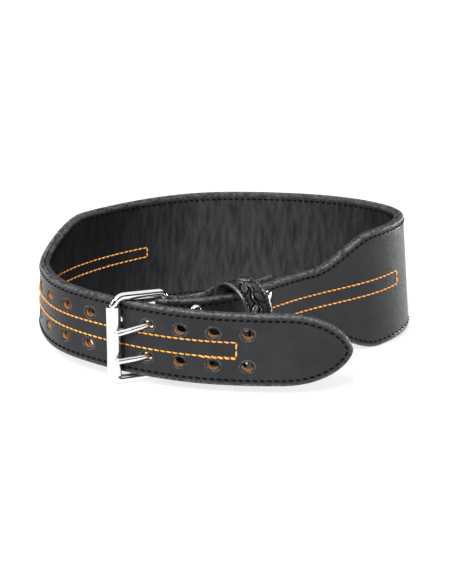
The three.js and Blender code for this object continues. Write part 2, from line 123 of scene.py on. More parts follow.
# Columns: right and back as shares of the loop's width and depth, then shares of LEAN and of LIFT
PATH = [
    (0.284, -0.481, 0.51, 0),
    (0.128, -0.493, 0.54, 0),
    (-0.025, -0.483, 0.78, 0),
    (-0.167, -0.434, 0.95, 0.5),
    (-0.295, -0.344, 0.96, 1),
    (-0.393, -0.232, 0.82, 0.4),
    (-0.439, -0.096, 0.45, 0),
    (-0.464, 0.064, 0.31, 0),
    (-0.378, 0.239, 0.33, 0),
    (-0.245, 0.386, 0.44, 0),
    (-0.08, 0.497, 0.46, 0),
    (0.121, 0.49, 0.42, 0),
    (0.331, 0.44, 0.45, 0),
    (0.503, 0.26, 0.64, 0),
    (0.381, 0.006, 0.95, 0),
    (0.169, -0.122, 0.97, 0),
    (0.011, -0.367, 0.95, 0),
    (-0.141, -0.366, 0.94, 0),
]

# Columns: out as a share of KEEPER_DEPTH, up as a share of half the strap's width
KEEPER_LOOP = [
    (0, 0.7),
    (0, 1.18),
    (0.26, 1.42),
    (0.57, 1.33),
    (0.83, 1.03),
    (0.93, 0.45),
    (0.93, -0.3),
    (0.85, -0.95),
    (0.58, -1.3),
    (0.2, -1.35),
    (0, -1.18),
    (0, -0.7),
]

HALF_STRAP = STRAP_WIDTH / 2
STACK = OUTER_LEATHER + LAYER_GAP + INNER_LEATHER
OUTER_MIDDLE = (STACK - OUTER_LEATHER) / 2
INNER_MIDDLE = (INNER_LEATHER - STACK) / 2
WRAP_RADIUS = WIRE / 2 + SKIN_GAP + OUTER_LEATHER / 2


def smooth(x):
    """Cubic step from 0 to 1."""
    x = np.clip(x, 0, 1)
    return x * x * (3 - 2 * x)


def unit(v):
    return v / np.linalg.norm(v, axis=-1, keepdims=True)


def lengths_along(points):
    """Distance along a run of points, at each of them."""
    return np.concatenate([[0], np.cumsum(np.linalg.norm(np.diff(points, axis=0), axis=1))])


def spline(rows, t, closed=False):
    """Uniform cubic B-spline through rows of columns, at the values t."""
    rows = np.asarray(rows, float)
    t = np.atleast_1d(np.asarray(t, float))
    n = len(rows)
    k = np.minimum(np.floor(t).astype(int), (n if closed else n - 1) - 1)
    f = (t - k)[:, None]
    if closed:
        near = [rows[(k + i) % n] for i in (-1, 0, 1, 2)]
    else:
        padded = np.vstack([2 * rows[0] - rows[1], rows, 2 * rows[-1] - rows[-2]])
        near = [padded[k + i] for i in (0, 1, 2, 3)]
    weights = [(1 - f) ** 3, 3 * f**3 - 6 * f**2 + 4, -3 * f**3 + 3 * f**2 + 3 * f + 1, f**3]
    return sum(w * r for w, r in zip(weights, near)) / 6


# The belt's path and its axes
TRACK_STEPS = 4800
TRACK = spline(PATH, np.linspace(0, len(PATH) - 1, TRACK_STEPS + 1))
TRACK = TRACK * [LOOP_WIDTH, LOOP_DEPTH, LEAN, LIFT]
TRACK_S = np.concatenate([[0], np.cumsum(np.hypot(*np.diff(TRACK[:, :2], axis=0).T))])
TRACK_ALONG = unit(np.gradient(TRACK[:, :2], axis=0))
BELT_LENGTH = TRACK_S[-1]
LEFT_TAPER = TONGUE_LENGTH
RIGHT_TAPER = BELT_LENGTH - ARM_LENGTH
WRAP_LENGTH = math.pi * WRAP_RADIUS
SHEET_END = BELT_LENGTH + WRAP_LENGTH + FLAP_LENGTH


def station(s):
    """Origin, along, up and out axes at the distances s from the tongue's tip."""
    s = np.clip(np.atleast_1d(np.asarray(s, float)), 0, BELT_LENGTH)
    x, y, lean, lift = (np.interp(s, TRACK_S, TRACK[:, c]) for c in range(4))
    ax, ay = (np.interp(s, TRACK_S, TRACK_ALONG[:, c]) for c in range(2))
    zero = np.zeros_like(s)
    along = unit(np.stack([ax, ay, zero], 1))
    level = np.stack([-along[:, 1], along[:, 0], zero], 1)
    vertical = np.array([0, 0, 1.0])
    lean = np.radians(lean)[:, None]
    up = np.cos(lean) * vertical - np.sin(lean) * level
    out = np.cos(lean) * level + np.sin(lean) * vertical
    return np.stack([x, y, PANEL_WIDTH / 2 + lift], 1), along, up, out


def half_width(s):
    taper = smooth((s - LEFT_TAPER) / TAPER_LENGTH) * smooth((RIGHT_TAPER - s) / TAPER_LENGTH)
    tip = (1 - (1 - np.clip(s / TIP_LENGTH, 0, 1)) ** TIP_FULLNESS) ** TIP_NOSE
    return (STRAP_WIDTH + (PANEL_WIDTH - STRAP_WIDTH) * taper) / 2 * tip


ARM_ORIGIN, ARM_ALONG, ARM_UP, ARM_OUT = (a[0] for a in station(BELT_LENGTH))
HEEL = ARM_ORIGIN + ARM_OUT * (OUTER_MIDDLE - WRAP_RADIUS)
HEEL_GAP = 2 * WRAP_RADIUS - OUTER_MIDDLE - STACK / 2 - OUTER_LEATHER / 2 - FLAP_GAP
KEEPER_END = KEEPER_START + KEEPER_BAND


def flap_middle(t):
    """How far the flap's middle lies behind the path, at the distances t back from the heel bar."""
    closing = HEEL_GAP * (1 - smooth((t - WRAP_RADIUS) / (BUCKLE_RIVET - RIVET_LAND - WRAP_RADIUS)))
    opening = smooth((t - BUCKLE_RIVET - RIVET_LAND) / FLAP_RAMP)
    returning = smooth((KEEPER_RIVET - RIVET_LAND - t) / (KEEPER_RIVET - RIVET_LAND - KEEPER_END))
    return -(STACK / 2 + FLAP_GAP + closing + FLAP_BULGE * opening * returning + OUTER_LEATHER / 2)


def flap_rise(t):
    return FLAP_RISE * smooth((t - RISE_START) / RISE_LENGTH)


def outer_sheet(s):
    """Middle of the outer leather: along the belt, round the heel bar, and back as the flap."""
    s = np.asarray(s, float)
    origin, _, up, out = station(s)
    origin = origin + out * OUTER_MIDDLE
    turned = s > BELT_LENGTH
    angle = np.clip((s - BELT_LENGTH) / WRAP_RADIUS, 0, math.pi)[:, None]
    radial = np.cos(angle) * ARM_OUT + np.sin(angle) * ARM_ALONG
    back = np.clip(s - BELT_LENGTH - WRAP_LENGTH, 0, None)
    flap_origin, flap_along, flap_up, flap_out = station(BELT_LENGTH - back)
    slope = (flap_middle(back + 0.01) - flap_middle(back - 0.01)) / 0.02
    flap_face = unit(-flap_out - flap_along * slope[:, None])
    flap = flap_origin + flap_out * flap_middle(back)[:, None] + flap_up * flap_rise(back)[:, None]
    on_flap = (s > BELT_LENGTH + WRAP_LENGTH)[:, None]
    folded = np.where(on_flap, flap, HEEL + WRAP_RADIUS * radial)
    turned = turned[:, None]
    up = np.where(turned, np.where(on_flap, flap_up, ARM_UP), up)
    out = np.where(turned, np.where(on_flap, flap_face, radial), out)
    return np.where(turned, folded, origin), up, out


def inner_sheet(s):
    origin, _, up, out = station(s)
    return origin + out * INNER_MIDDLE, up, out


def place(sheet, swn):
    """Points of a sheet given as rows of distance along it, height across it and height off its middle."""
    origin, up, out = sheet(swn[:, 0])
    return origin + up * swn[:, 1:2] + out * swn[:, 2:3]


# How the belt lies: the turn and shift that take the rivets' level places to where the frame has them
SIDES = (1, -1)
RIVET_FRONT = STACK / 2 + RIVET_SEAT
RIVETS = {
    "rivet_buckle_upper": (BUCKLE_RIVET, 1),
    "rivet_buckle_lower": (BUCKLE_RIVET, -1),
    "rivet_keeper_upper": (KEEPER_RIVET, 1),
    "rivet_keeper_lower": (KEEPER_RIVET, -1),
}


def rivet_back(t):
    return float(flap_middle(np.array([t]))[0]) - OUTER_LEATHER / 2 - RIVET_SEAT


def rivet_axes(t, side):
    origin, along, up, out = (a[0] for a in station(BELT_LENGTH - t))
    return origin + up * side * (HALF_STRAP - RIVET_INSET), along, up, out


def box_middle(node):
    low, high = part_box(node)
    return np.array((low + high) / 2)


def resting_place():
    level = []
    for t, side in RIVETS.values():
        origin, _, _, out = rivet_axes(t, side)
        level.append(origin + out * (rivet_back(t) + RIVET_FRONT) / 2)
    level = np.array(level) * MM
    placed = np.array([box_middle(name) for name in RIVETS])
    a, b = level - level.mean(0), placed - placed.mean(0)
    u, _, v = np.linalg.svd(a.T @ b)
    flip = np.diag([1, 1, np.sign(np.linalg.det(u @ v))])
    turn = (u @ flip @ v).T
    return turn, placed.mean(0) - turn @ level.mean(0)


TURN, SHIFT = resting_place()


def lay(points):
    """Level millimetres to the frame's metres."""
    return np.asarray(points) * MM @ TURN.T + SHIFT


def unlay(point):
    """The frame's metres to level millimetres."""
    return (np.asarray(point) - SHIFT) @ TURN / MM


# Buckle axes, from where the frame has the roller
FRAME_UP = ARM_UP
ROLLER_MIDDLE = unlay(box_middle("buckle_roller"))
ROLLER = ROLLER_MIDDLE + FRAME_UP * ROLLER_DROP
FRAME_ALONG = unit(ROLLER - HEEL)
FRAME_OUT = unit(np.cross(FRAME_ALONG, FRAME_UP))
FRAME_OUT = FRAME_OUT * np.sign(FRAME_OUT @ ARM_OUT)
HOOK_RADIUS = WIRE / 2 + PRONG_CLEARANCE + PRONG_BASE / 2
HOLE_REACH = HOOK_RADIUS + PRONG_BASE / 2 + PRONG_TIP / 2 + HOLE_SLACK
TONGUE_S = np.arange(TONGUE_LENGTH)
BUCKLED_S = float(TONGUE_S[np.argmax((station(TONGUE_S)[0] - HEEL) @ ARM_ALONG > HOLE_REACH)])
HOLE_S = BUCKLED_S + (np.arange(HOLE_COLUMNS) - BUCKLED_COLUMN) * HOLE_PITCH
PRONG_RISE = float((station(BUCKLED_S)[0][0] - HEEL) @ FRAME_UP)


# Keeper loop: the middle of its band, in millimetres round the loop
KEEPER_BACK = -(STACK / 2 + KEEPER_CLEARANCE + KEEPER_LEATHER / 2)
KEEPER_TURNS = spline(KEEPER_LOOP, np.linspace(0, len(KEEPER_LOOP), 2401), closed=True)
KEEPER_TURNS = KEEPER_TURNS * [KEEPER_DEPTH, HALF_STRAP] + [KEEPER_BACK, 0]
KEEPER_S = lengths_along(KEEPER_TURNS)
KEEPER_LENGTH = KEEPER_S[-1]
KEEPER_FACING = unit(np.gradient(KEEPER_TURNS, axis=0))
KEEPER_ORIGIN, KEEPER_ALONG, KEEPER_UP, KEEPER_OUT = (
    a[0] for a in station(BELT_LENGTH - (KEEPER_START + KEEPER_END) / 2)
)


def keeper_sheet(s):
    s = np.mod(s, KEEPER_LENGTH)
    v, u = (np.interp(s, KEEPER_S, KEEPER_TURNS[:, c])[:, None] for c in (0, 1))
    dv, du = (np.interp(s, KEEPER_S, KEEPER_FACING[:, c])[:, None] for c in (0, 1))
    middle = KEEPER_ORIGIN + KEEPER_OUT * v + KEEPER_UP * u + KEEPER_ALONG * (KEEPER_BACK - v) * KEEPER_SKEW
    band = np.broadcast_to(-KEEPER_ALONG, middle.shape)
    return middle, band, unit(KEEPER_UP * dv - KEEPER_OUT * du)


# Materials
def node(tree, kind, inputs=None, **settings):
    """Adds a shader node. An input's value is a number, a colour or another node's output."""
    made = tree.nodes.new(kind)
    for key, value in settings.items():
        setattr(made, key, value)
    for key, value in (inputs or {}).items():
        if isinstance(value, bpy.types.NodeSocket):
            tree.links.new(value, made.inputs[key])
        else:
            made.inputs[key].default_value = value
    return made


def material(name, **sockets):
    """A new Principled material, its node tree and its shader. Socket names have _ for a space."""
    made = bpy.data.materials.new(name)
    made.use_nodes = True
    shader = made.node_tree.nodes["Principled BSDF"]
    for key, value in sockets.items():
        shader.inputs[key.replace("_", " ")].default_value = value
    return made, made.node_tree, shader


def ramp(tree, factor, stops):
    """A colour ramp through (position, colour) stops."""
    made = node(tree, "ShaderNodeValToRGB", {"Fac": factor})
    elements = made.color_ramp.elements
    while len(elements) < len(stops):
        elements.new(0.5)
    for element, (position, colour) in zip(elements, stops):
        element.position = position
        element.color = (*colour, 1)
    return made.outputs["Color"]


def grey(v):
    return (v, v, v)


def noise(tree, coords, scale, detail=3, roughness=0.5, stretch=(1, 1, 1)):
    mapped = node(tree, "ShaderNodeMapping", {"Vector": coords, "Scale": stretch})
    return node(
        tree,
        "ShaderNodeTexNoise",
        {"Vector": mapped.outputs[0], "Scale": scale, "Detail": detail, "Roughness": roughness},
    ).outputs["Fac"]


def bump(tree, height, strength, distance, under=None):
    inputs = {"Height": height, "Strength": strength, "Distance": distance}
    if under is not None:
        inputs["Normal"] = under
    return node(tree, "ShaderNodeBump", inputs).outputs["Normal"]


def mix(tree, factor, a, b):
    made = node(tree, "ShaderNodeMix", data_type="RGBA")
    for socket, value in ((made.inputs[0], factor), (made.inputs[6], a), (made.inputs[7], b)):
        if isinstance(value, bpy.types.NodeSocket):
            tree.links.new(value, socket)
        else:
            socket.default_value = value
    return made.outputs[2]


def object_coords(tree):
    return node(tree, "ShaderNodeTexCoord").outputs["Object"]


def attribute(tree, name):
    return node(tree, "ShaderNodeAttribute", attribute_name=name).outputs["Fac"]


def scaled(tree, value, factor):
    return node(tree, "ShaderNodeMath", {0: value, 1: factor}, operation="MULTIPLY").outputs[0]


def shifted(tree, value, factor, offset):
    inputs = {0: value, 1: factor, 2: offset}
    return node(tree, "ShaderNodeMath", inputs, operation="MULTIPLY_ADD").outputs[0]


def link(tree, output, shader, socket):
    tree.links.new(output, shader.inputs[socket])


def worn_rim(tree, coords, base, stops):
    """A base colour with the worn colours of a ramp where the rim attribute is high."""
    worn = ramp(tree, noise(tree, coords, 330, 4, 0.7), stops)
    return mix(tree, attribute(tree, "rim"), base, worn)


def smooth_leather():
    """Outer leather: smooth black hide with fine pores, soft wear on the rims and faint scuffs."""
    made, tree, shader = material("smooth_black_leather", Specular_IOR_Level=0.25)
    coords = object_coords(tree)
    clouds = noise(tree, coords, 45, 4, 0.6)
    mottle = noise(tree, coords, 420, 3, 0.6)
    pores = noise(tree, coords, 1900, 2, 0.5)
    scratches = noise(tree, coords, 900, 5, 0.75, (0.09, 1, 1.3))
    base = ramp(tree, clouds, [(0.3, (0.0105, 0.0108, 0.012)), (0.7, (0.0185, 0.019, 0.0206))])
    marks = ramp(tree, scratches, [(0.66, grey(0)), (0.74, grey(1))])
    base = mix(tree, scaled(tree, marks, 0.6), base, (0.085, 0.087, 0.092, 1))
    base = worn_rim(tree, coords, base, [(0.38, (0.008, 0.0082, 0.009)), (0.6, (0.12, 0.121, 0.126))])
    link(tree, base, shader, "Base Color")
    link(tree, ramp(tree, mottle, [(0.25, grey(0.23)), (0.75, grey(0.38))]), shader, "Roughness")
    fine = bump(tree, pores, 0.3, 0.0004)
    rough_rim = bump(tree, scaled(tree, mottle, attribute(tree, "rim")), 0.9, 0.0009, fine)
    link(tree, bump(tree, clouds, 0.25, 0.0012, rough_rim), shader, "Normal")
    return made


def lining_leather():
    """Inner leather: matt black hide with fine upright creases, and painted light: lighter in the middle of
    the back wall, darker toward the sides.
    """
    made, tree, shader = material("creased_lining_leather", Specular_IOR_Level=0.08)
    coords = object_coords(tree)
    creases = noise(tree, coords, 260, 4, 0.6, (1, 1, 0.07))
    broad = noise(tree, coords, 60, 3, 0.55, (1, 1, 0.12))
    pores = noise(tree, coords, 1500, 2)
    base = ramp(tree, creases, [(0.32, (0.003, 0.0031, 0.0038)), (0.7, (0.011, 0.0112, 0.0125))])
    # Painted light: a lighter colour for where the front light falls on the middle of the back wall
    lit_back_colour = ramp(tree, creases, [(0.3, (0.014, 0.0142, 0.0154)), (0.7, (0.046, 0.0465, 0.05))])
    place_xyz = node(tree, "ShaderNodeSeparateXYZ", {"Vector": coords}).outputs
    across = shifted(tree, place_xyz["X"], 3.0, 0.5)
    middle = ramp(tree, across, [(0.18, grey(0)), (0.42, grey(1)), (0.7, grey(0.9)), (0.9, grey(0.35))])
    behind = ramp(tree, place_xyz["Y"], [(0.02, grey(0)), (0.09, grey(1))])
    # The lighter colour is painted light, laid on the back wall's middle and fading toward the sides and the
    # front
    base = mix(tree, scaled(tree, middle, behind), base, lit_back_colour)
    base = worn_rim(tree, coords, base, [(0.35, (0.01, 0.0102, 0.011)), (0.62, (0.07, 0.071, 0.075))])
    link(tree, base, shader, "Base Color")
    link(tree, ramp(tree, broad, [(0.3, grey(0.5)), (0.7, grey(0.62))]), shader, "Roughness")
    fine = bump(tree, pores, 0.25, 0.0004)
    mid = bump(tree, creases, 0.7, 0.0013, fine)
    link(tree, bump(tree, broad, 0.6, 0.003, mid), shader, "Normal")
    return made


def raw_leather():
    """Tan hide where the leather is cut or its flesh side shows."""
    made, tree, shader = material("raw_tan_leather", Specular_IOR_Level=0.3, Roughness=0.85)
    coords = object_coords(tree)
    fibres = noise(tree, coords, 900, 4, 0.7)
    patches = noise(tree, coords, 220, 3)
    base = ramp(tree, fibres, [(0.3, (0.25, 0.1, 0.035)), (0.7, (0.46, 0.21, 0.08))])
    dark = ramp(tree, patches, [(0.35, grey(0.45)), (0.65, grey(0))])
    link(tree, mix(tree, dark, base, (0.16, 0.062, 0.024, 1)), shader, "Base Color")
    link(tree, bump(tree, fibres, 0.6, 0.0006), shader, "Normal")
    return made


def tooled_leather():
    """Keeper leather: glossy black, polished on the raised tooling and duller in its grooves, with painted
    shade: near-black colour in the grooves.
    """
    made, tree, shader = material("tooled_black_leather")
    coords = object_coords(tree)
    clouds = noise(tree, coords, 150, 4, 0.6)
    stipple = noise(tree, coords, 1300, 3, 0.6)
    raised = attribute(tree, "rim")
    base = ramp(tree, clouds, [(0.3, (0.014, 0.014, 0.015)), (0.7, (0.06, 0.061, 0.064))])
    # Painted shade: the low parts of the tooling are coloured near black, as if shade filled the grooves
    base = mix(tree, raised, (0.001, 0.001, 0.0013, 1), base)
    link(tree, base, shader, "Base Color")
    link(tree, ramp(tree, raised, [(0.2, grey(0.02)), (0.85, grey(0.75))]), shader, "Specular IOR Level")
    link(tree, ramp(tree, raised, [(0.1, grey(0.55)), (0.8, grey(0.2))]), shader, "Roughness")
    link(tree, bump(tree, stipple, 0.35, 0.0004), shader, "Normal")
    return made


def chrome_plate():
    """Bright chrome with faint drag marks and a little unevenness."""
    made, tree, shader = material("bright_chrome", Metallic=1.0)
    coords = object_coords(tree)
    smudges = noise(tree, coords, 90, 4, 0.6)
    marks = noise(tree, coords, 700, 3, 0.6, (1, 1, 0.2))
    tint = ramp(tree, smudges, [(0.3, (0.84, 0.86, 0.89)), (0.7, (0.93, 0.94, 0.95))])
    link(tree, tint, shader, "Base Color")
    link(tree, ramp(tree, smudges, [(0.3, grey(0.04)), (0.75, grey(0.1))]), shader, "Roughness")
    link(tree, bump(tree, marks, 0.08, 0.0003), shader, "Normal")
    return made


def thread_material(name, dark, light, ends, shine):
    """Twisted thread: slanted plies, small changes of colour, and painted shade where a stitch goes into its
    hole.
    """
    made, tree, shader = material(name, Specular_IOR_Level=shine, Roughness=0.6)
    coords = object_coords(tree)
    plies = noise(tree, coords, 1400, 2, 0.5, (1, 1, 0.5))
    shades = noise(tree, coords, 300, 2)
    tone = ramp(tree, shades, [(0.3, dark), (0.65, light)])
    # Painted shade: the ends colour darkens each stitch where it dives into the leather
    link(tree, mix(tree, attribute(tree, "rim"), tone, (*ends, 1)), shader, "Base Color")
    link(tree, bump(tree, plies, 0.7, 0.0004), shader, "Normal")
    return made


LEATHER = smooth_leather()
LINING = lining_leather()
RAW = raw_leather()
TOOLED = tooled_leather()
CHROME = chrome_plate()
# The last colour of each thread is the painted shade at its stitch ends
BLACK_THREAD = thread_material("black_thread", grey(0.001), grey(0.003), grey(0.0005), 0.05)
ORANGE_THREAD = thread_material(
    "orange_thread", (0.7, 0.27, 0.04), (0.95, 0.47, 0.1), (0.25, 0.04, 0.005), 0.35
)


# Meshes
CREASE = math.radians(38)


def add_piece(name, points, faces, materials, slots=None, node_name=None, rim=None):
    """A piece of the belt from level points and faces, riding on the belt's one body."""
    mesh = bpy.data.meshes.new(name)
    mesh.from_pydata(lay(points).tolist(), [], faces)
    for m in materials:
        mesh.materials.append(m)
    if slots is not None:
        mesh.polygons.foreach_set("material_index", np.asarray(slots, np.int32))
    if rim is not None:
        mesh.attributes.new("rim", "FLOAT", "POINT").data.foreach_set("value", np.asarray(rim, np.float32))
    shape = bmesh.new()
    shape.from_mesh(mesh)
    bmesh.ops.remove_doubles(shape, verts=shape.verts, dist=1e-6)
    bmesh.ops.dissolve_degenerate(shape, edges=shape.edges, dist=1e-7)
    bmesh.ops.recalc_face_normals(shape, faces=shape.faces)
    shape.to_mesh(mesh)
    shape.free()
    mesh.shade_smooth()
    mesh.set_sharp_from_angle(angle=CREASE)
    piece = bpy.data.objects.new(name, mesh)
    bpy.context.collection.objects.link(piece)
    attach(piece, "root")
    if node_name:
        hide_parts(node_name)


# Strips of leather. A rim row is (inset from the edge, height off the middle), front face to back.
EDGE_INSET = 6.0
GROOVE_INSET = 4.6
GROOVE_HALF = 0.75
GROOVE_DEPTH = 0.22
ACROSS = np.array([0, 0.15, 0.3, 0.4533, 0.5644, 0.6756, 0.79, 0.9, 1.0])
ACROSS = np.concatenate([-ACROSS[:0:-1], ACROSS])
MIDDLE_COLUMN = len(ACROSS) // 2
OUTER_ROUND = 1.5
INNER_ROUND = 1.6
PLAIN_ROUND = 0.5
RIM_WEAR = 3.0


def arc(radius, face, steps, inward):
    """Quarter round of a rim, from the face to the side wall, or back from the wall to the face."""
    turns = np.linspace(0, math.pi / 2, steps + 1)
    points = [
        (radius * (1 - math.sin(a)), face - math.copysign(radius * (1 - math.cos(a)), face)) for a in turns
    ]
    return points[::-1] if inward else points


def rim_profile(thickness, grooved, plain, grooved_round, plain_round):
    """Rows of a rim whose grooved face has the stitch groove. grooved and plain are the faces' signs."""
    face, back = grooved * thickness / 2, plain * thickness / 2
    rows = [
        (GROOVE_INSET + GROOVE_HALF, face),
        (GROOVE_INSET + GROOVE_HALF / 2, face - grooved * GROOVE_DEPTH * 0.8),
        (GROOVE_INSET, face - grooved * GROOVE_DEPTH),
        (GROOVE_INSET - GROOVE_HALF / 2, face - grooved * GROOVE_DEPTH * 0.8),
        (GROOVE_INSET - GROOVE_HALF, face),
        (GROOVE_INSET - 2 * GROOVE_HALF, face),
        *arc(grooved_round, face, 5, False),
        *arc(plain_round, back, 3, True),
    ]
    return rows if grooved > 0 else rows[::-1]


def edge_line(rows, inset):
    """The upper edge's points at an inset, as distances along and across, cut where they cross the middle."""
    step = 0.02
    slope = (half_width(rows + step) - half_width(np.maximum(rows - step, 1e-4))) / (
        rows + step - np.maximum(rows - step, 1e-4)
    )
    length = np.hypot(slope, 1)
    s, w = rows + inset * slope / length, half_width(rows) - inset / length
    crossed = np.nonzero(w <= 0)[0]
    if len(crossed):
        k = crossed[-1] + 1
        f = w[k] / (w[k] - w[k - 1])
        s[:k] = s[k] + (s[k - 1] - s[k]) * f
        w[:k] = 0
    return s, w


# Rings round a hole as (reach past its edge, height above the face)
HOLE_FACE_RINGS = [
    (0, -0.9), (0.12, -0.45), (0.45, -0.12), (0.9, -0.06), (1.4, -0.22), (1.8, -0.22), (2.3, -0.04), (3, 0)
]
HOLE_BACK_RINGS = [(0, -0.3), (0.3, 0)]
CELL_LENGTH = 18.0
CELL_STEPS = 12
HOLE_WEAR = 0.6
SLOT_COLUMNS = (3, 5)


class Strip:
    """One leather layer as a lattice of rows along it and columns round its section."""

    def __init__(self, sheet, rows, thickness, profile, face_height, cells, slots, face_rings, back_rings):
        self.sheet, self.rows, self.half = sheet, rows, thickness / 2
        self.rim_rows = profile
        self.face_height = face_height
        self.across, self.rim = len(ACROSS), len(profile)
        self.columns = 2 * (self.across + self.rim)
        self.points = self.lattice()
        self.worn = np.zeros(len(self.points))
        self.mark_rims()
        self.faces, self.kinds = [], []
        self.open = np.zeros((len(rows) - 1, self.columns), bool)
        for column_s, side in cells:
            self.hole(column_s, side, face_rings, back_rings)
        for start, end, side in slots:
            self.slot(start, end, side)
        self.skin()

    def lattice(self):
        rows = self.rows
        edge_s, edge_w = edge_line(rows, EDGE_INSET)
        upper = [edge_line(rows, inset) for inset, _ in self.rim_rows]
        blocks = []
        for f in ACROSS:
            blocks.append((edge_s, edge_w * f, self.half))
        for (s, w), (_, n) in zip(upper, self.rim_rows):
            blocks.append((s, w, n))
        for f in ACROSS[::-1]:
            blocks.append((edge_s, edge_w * f, -self.half))
        for (s, w), (_, n) in zip(upper[::-1], self.rim_rows[::-1]):
            blocks.append((s, -w, n))
        grid = np.zeros((len(rows), self.columns, 3))
        for c, (s, w, n) in enumerate(blocks):
            grid[:, c] = np.stack([s, w, np.full_like(s, n)], 1)
        front = slice(0, self.across)
        back = slice(self.across + self.rim, 2 * self.across + self.rim)
        for part, side in ((front, 1), (back, -1)):
            flat = grid[:, part].reshape(-1, 3)
            flat[:, 2] += side * self.face_height(flat[:, 0], flat[:, 1], side)
            grid[:, part] = flat.reshape(len(rows), -1, 3)
        return list(grid.reshape(-1, 3))

    def mark_rims(self):
        wear = np.array([smooth(1 - inset / RIM_WEAR) for inset, _ in self.rim_rows])
        for r in range(len(self.rows)):
            base = r * self.columns
            self.worn[base + self.across: base + self.across + self.rim] = wear
            self.worn[base + 2 * self.across + self.rim: base + self.columns] = wear[::-1]

    def at(self, row, column):
        return row * self.columns + column % self.columns

    def behind(self, column):
        """Back column that faces a front column."""
        return 2 * self.across + self.rim - 1 - column

    def border(self, rows, columns):
        """Row and column pairs round a block, in order."""
        (a, b), (c, d) = rows, columns
        pairs = [(a, j) for j in range(c, d)] + [(i, d) for i in range(a, b)]
        return pairs + [(b, j) for j in range(d, c, -1)] + [(i, c) for i in range(b, a, -1)]

    def clear(self, rows, columns):
        (a, b), (c, d) = rows, columns
        self.open[a:b, c:d] = True
        self.open[a:b, self.behind(d): self.behind(c)] = True

    def hole(self, column_s, side, face_rings, back_rings):
        rows = (self.nearest(column_s - CELL_LENGTH / 2), self.nearest(column_s + CELL_LENGTH / 2))
        columns = (MIDDLE_COLUMN, self.across - 1) if side > 0 else (0, MIDDLE_COLUMN)
        self.clear(rows, columns)
        pairs = self.border(rows, columns)
        centre = np.array([column_s, side * HOLE_ROWS / 2])
        axes = np.array([HOLE_LENGTH / 2, HOLE_HEIGHT / 2])
        edge = np.array([self.points[self.at(r, c)][:2] for r, c in pairs]) - centre
        turns = np.arctan2(edge[:, 1] / axes[1], edge[:, 0] / axes[0])
        ends = []
        for face, rings, outer in (
            (1, face_rings, [self.at(r, c) for r, c in pairs]),
            (-1, back_rings, [self.at(r, self.behind(c)) for r, c in pairs]),
        ):
            previous = outer
            for reach, height in rings[::-1]:
                swn = np.stack([
                    centre[0] + (axes[0] + reach) * np.cos(turns),
                    centre[1] + (axes[1] + reach) * np.sin(turns),
                    np.full(len(turns), face * (self.half + height)),
                ], 1)
                ring = list(range(len(self.points), len(self.points) + len(swn)))
                self.points.extend(swn)
                self.worn = np.concatenate([self.worn, np.full(len(swn), HOLE_WEAR if 1 < reach < 2 else 0)])
                self.band(previous, ring, 0)
                previous = ring
            ends.append(previous)
        self.band(ends[0], ends[1], 1)

    def band(self, a, b, kind):
        """Quads between two closed rings."""
        n = len(a)
        for i in range(n):
            j = (i + 1) % n
            self.faces.append((a[i], a[j], b[j], b[i]))
            self.kinds.append(kind)

    def slot(self, start, end, side):
        rows = (self.nearest(start), self.nearest(end))
        columns = sorted(MIDDLE_COLUMN + side * k for k in SLOT_COLUMNS)
        self.clear(rows, columns)
        pairs = self.border(rows, columns)
        self.band([self.at(r, c) for r, c in pairs], [self.at(r, self.behind(c)) for r, c in pairs], 1)

    def nearest(self, s):
        return int(np.argmin(np.abs(self.rows - s)))

    def skin(self):
        back = range(self.across + self.rim, 2 * self.across + self.rim - 1)
        for r in range(len(self.rows) - 1):
            for c in range(self.columns):
                if not self.open[r, c]:
                    kind = 2 if c in back else 0
                    self.add_face(kind, (r, c), (r, c + 1), (r + 1, c + 1), (r + 1, c))
        # The tip closes across the middle, the other end from front to back
        for c in range(MIDDLE_COLUMN, self.across + self.rim + MIDDLE_COLUMN):
            a, b = self.mirror(c), self.mirror(c + 1)
            self.add_face(0, (0, c), (0, c + 1), (0, b), (0, a))
        last = len(self.rows) - 1
        for c in range(self.across - 1):
            a, b = self.behind(c), self.behind(c + 1)
            self.add_face(0, (last, c), (last, c + 1), (last, b), (last, a))
        for end in (
            range(self.across - 1, self.across + self.rim + 1),
            range(2 * self.across + self.rim - 1, self.columns + 1),
        ):
            self.add_face(0, *((last, c) for c in end))

    def add_face(self, kind, *corners):
        """A face through (row, column) corners."""
        self.faces.append(tuple(self.at(r, c) for r, c in corners))
        self.kinds.append(kind)

    def mirror(self, column):
        """Column on the other side of the strip's middle."""
        return (self.across - 1 - column) % self.columns

    def piece(self, name, materials, stands_for, record_slot):
        points = place(self.sheet, np.array(self.points))
        add_piece(name, points, self.faces, materials, self.kinds, stands_for, self.worn)


ROW_STEP = 3.0
TIP_ROWS = 26
TIP_REACH = 50.0
DENSE_REACH = 24
SLOT_REACH = WRAP_RADIUS + OUTER_LEATHER


def strip_rows(end, breaks):
    """Distances along a strip: dense at the tip, even elsewhere, exact at hole cells and other breaks."""
    tip = TIP_REACH * ((np.arange(TIP_ROWS) + 0.35) / TIP_ROWS) ** 2
    knots = [TIP_REACH]
    for s in HOLE_S:
        knots += [s - CELL_LENGTH / 2, s + CELL_LENGTH / 2]
    knots = sorted([*knots, *breaks, end])
    rows = [tip]
    for a, b in zip(knots, knots[1:]):
        in_cell = any(abs((a + b) / 2 - s) < 1 for s in HOLE_S)
        dense = BELT_LENGTH < (a + b) / 2 < BELT_LENGTH + WRAP_LENGTH + BUCKLE_RIVET + DENSE_REACH
        step = ROW_STEP / 3 if dense else ROW_STEP
        steps = CELL_STEPS if in_cell else max(1, math.ceil((b - a) / step))
        rows.append(np.linspace(a, b, steps, endpoint=False))
    return np.concatenate([*rows, [end]])


DIMPLE_DEPTH = 0.35
DIMPLE_REACH = 6


